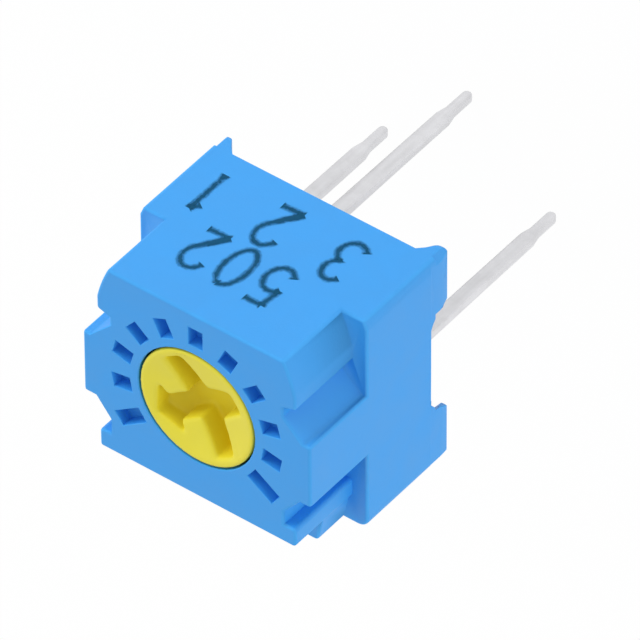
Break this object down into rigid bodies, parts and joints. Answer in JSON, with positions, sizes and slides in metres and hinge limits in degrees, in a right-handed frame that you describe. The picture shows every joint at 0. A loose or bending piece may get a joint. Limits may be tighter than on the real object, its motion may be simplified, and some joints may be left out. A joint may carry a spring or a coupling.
{
  "type": "trimmer potentiometer",
  "caption": "Through-hole single-turn trimmer potentiometer: notched square housing with a round dial, slotted rotor, contact spring on a ceramic element, and flat leads.",
  "frame": {"origin": "on the rotor axis, at the level of the soles of the feet, which is the surface of the circuit board", "axes": "+Z along the rotor axis, out of the dial face; +Y towards the printed side; +X to the right, towards the lead of terminal 3"},
  "size_m": [0.0068, 0.0067, 0.0108],
  "materials": {
    "housing_plastic": "satin",
    "rotor_plastic": "satin",
    "seal_rubber": "matte",
    "contact_metal": "polished",
    "alumina": "matte",
    "cermet": "satin",
    "silver_print": "satin",
    "lead_metal": "satin",
    "solder": "satin",
    "resin": "satin"
  },
  "bodies": {
    "case": {"housing": "housing_plastic", "substrate": "alumina", "resistive_track": "cermet", "collector_track": "silver_print", "centre_electrode": "silver_print", "end_electrode_1": "silver_print", "end_electrode_3": "silver_print", "terminal_1": "lead_metal", "terminal_2": "lead_metal", "terminal_3": "lead_metal", "solder_joint_1": "solder", "solder_joint_2": "solder", "solder_joint_3": "solder", "potting": "resin"},
    "rotor": {"rotor": "rotor_plastic", "rotor_seal": "seal_rubber", "wiper": "contact_metal"}
  },
  "joints": [
    {"name": "rotor_turn", "type": "hinge", "parent": "case", "child": "rotor", "pos_m": [0, 0, 0], "axis": [0, 0, 1], "range_deg": [-253, 7]}
  ]
}
